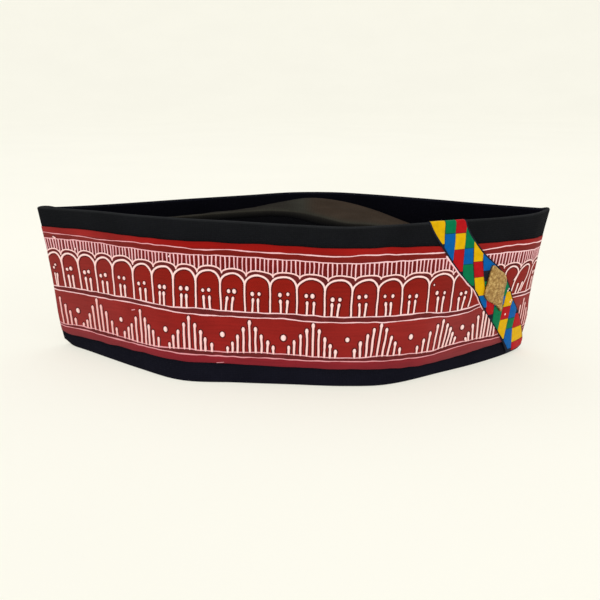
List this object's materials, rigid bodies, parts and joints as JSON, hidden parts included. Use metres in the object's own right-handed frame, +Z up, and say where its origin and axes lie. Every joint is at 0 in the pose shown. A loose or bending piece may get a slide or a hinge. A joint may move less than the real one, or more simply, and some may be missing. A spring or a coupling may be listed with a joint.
{
  "type": "pahadi cap",
  "caption": "Stiff cloth cap, boat-shaped and pointed at both ends, with a white-painted red panel round a black band, a slanting patchwork ribbon, a gold brooch and a dented crown.",
  "frame": {"origin": "on the surface the cap stands on, under the middle of its box", "axes": "+X along the cap from its plain end to the end with the ribbon, -Y towards the painted front, +Z up to the rim"},
  "size_m": [0.2836, 0.129, 0.0845],
  "materials": {
    "black_cloth": "matt black cotton over a stiff band, with a fine plain weave and slightly greyer folded edges",
    "painted_cloth": "brick-red painted cloth, matt to satin, uneven from brush strokes",
    "white_paint": "warm white acrylic paint in raised hand-piped lines and dots, satin",
    "lining_cloth": "matt near-black cotton lining",
    "crown_cloth": "dark brown-grey woollen cloth, matt, softly creased",
    "patchwork_satin": "satin patches in yellow, green, red and blue with dark bound edges",
    "gold": "grainy pale gold, hammered and a little worn"
  },
  "bodies": {
    "root": {"band": "black_cloth", "painted_panel": "painted_cloth", "crown_side": "lining_cloth", "crown_top": "crown_cloth", "patchwork_ribbon": "patchwork_satin", "brooch": "gold"}
  },
  "joints": []
}
